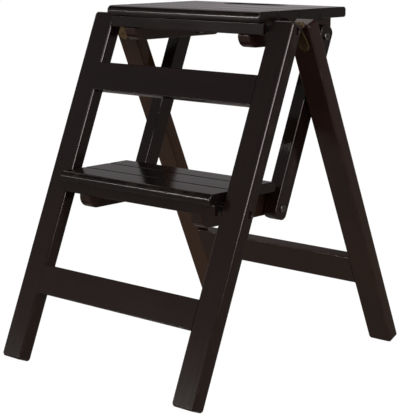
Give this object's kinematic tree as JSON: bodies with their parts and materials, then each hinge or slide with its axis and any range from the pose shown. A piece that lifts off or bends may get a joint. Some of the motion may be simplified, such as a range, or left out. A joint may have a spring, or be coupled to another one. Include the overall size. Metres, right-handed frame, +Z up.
{
  "type": "folding step stool",
  "caption": "Dark wooden folding step stool: leaning front frame with a slatted tread, a slatted seat with a hand slot, and a hinged rear frame.",
  "frame": {"origin": "on the floor, under the middle of the open stool", "axes": "+X to the right seen from the front, +Y from the front towards the rear frame, +Z up"},
  "size_m": [0.356, 0.4424, 0.4799],
  "materials": {
    "stained_wood": "satin lacquer over dark brown stain",
    "hinge_brass": "plated, slightly dull",
    "pivot_steel": "zinc plated",
    "pivot_black": "black paint",
    "spacer_plastic": "black nylon"
  },
  "bodies": {
    "front_frame": {"front_upper_rail": "stained_wood", "front_lower_rail": "stained_wood", "front_stile_left": "stained_wood", "hinge_front_leaf_left": "hinge_brass", "hinge_pin_left": "hinge_brass", "seat_pivot_bolt_left": "pivot_black", "seat_pivot_nut_left": "pivot_steel", "seat_pivot_spacer_left": "spacer_plastic", "tread_pivot_bolt_left": "pivot_black", "tread_pivot_nut_left": "pivot_steel", "tread_pivot_spacer_left": "spacer_plastic", "tread_stop_pin_left": "pivot_black", "front_stile_right": "stained_wood", "hinge_front_leaf_right": "hinge_brass", "hinge_pin_right": "hinge_brass", "seat_pivot_bolt_right": "pivot_black", "seat_pivot_nut_right": "pivot_steel", "seat_pivot_spacer_right": "spacer_plastic", "tread_pivot_bolt_right": "pivot_black", "tread_pivot_nut_right": "pivot_steel", "tread_pivot_spacer_right": "spacer_plastic", "tread_stop_pin_right": "pivot_black"},
    "rear_frame": {"rear_rail": "stained_wood", "rear_leg_left": "stained_wood", "hinge_rear_leaf_left": "hinge_brass", "rear_leg_right": "stained_wood", "hinge_rear_leaf_right": "hinge_brass"},
    "seat": {"seat_apron": "stained_wood", "seat_slat_1": "stained_wood", "seat_slat_2": "stained_wood", "seat_slat_3": "stained_wood", "seat_slat_4": "stained_wood", "seat_cleat_left": "stained_wood", "seat_link_bolt_left": "pivot_steel", "seat_link_nut_left": "pivot_steel", "seat_link_washer_left": "spacer_plastic", "seat_cleat_right": "stained_wood", "seat_link_bolt_right": "pivot_steel", "seat_link_nut_right": "pivot_steel", "seat_link_washer_right": "spacer_plastic"},
    "tread": {"tread_apron": "stained_wood", "tread_slat_1": "stained_wood", "tread_slat_2": "stained_wood", "tread_slat_3": "stained_wood", "tread_cleat_left": "stained_wood", "tread_link_bolt_left": "pivot_steel", "tread_link_nut_left": "pivot_steel", "tread_link_washer_left": "spacer_plastic", "tread_cleat_right": "stained_wood", "tread_link_bolt_right": "pivot_steel", "tread_link_nut_right": "pivot_steel", "tread_link_washer_right": "spacer_plastic"},
    "link_left": {"link_left": "stained_wood"},
    "link_right": {"link_right": "stained_wood"}
  },
  "joints": [
    {"name": "rear_frame_fold", "type": "hinge", "parent": "front_frame", "child": "rear_frame", "pos_m": [0, -0.00756, 0.46307], "axis": [-1, 0, 0], "range_deg": [0, 46]},
    {"name": "seat_fold", "type": "hinge", "parent": "front_frame", "child": "seat", "pos_m": [0, -0.02619, 0.45665], "axis": [1, 0, 0], "range_deg": [0, 65.5]},
    {"name": "tread_fold", "type": "hinge", "parent": "front_frame", "child": "tread", "pos_m": [0, -0.11688, 0.23553], "axis": [1, 0, 0], "range_deg": [0, 65.5]},
    {"name": "link_left_turn", "type": "hinge", "parent": "seat", "child": "link_left", "pos_m": [0, 0.09221, 0.44165], "axis": [1, 0, 0], "range_deg": [-65.5, 0]},
    {"name": "link_right_turn", "type": "hinge", "parent": "seat", "child": "link_right", "pos_m": [0, 0.09221, 0.44165], "axis": [1, 0, 0], "range_deg": [-65.5, 0]}
  ],
  "couplings": [
    {"joint": "tread_fold", "follows": "seat_fold", "ratio": 1},
    {"joint": "link_left_turn", "follows": "seat_fold", "ratio": -1},
    {"joint": "link_right_turn", "follows": "seat_fold", "ratio": -1}
  ]
}
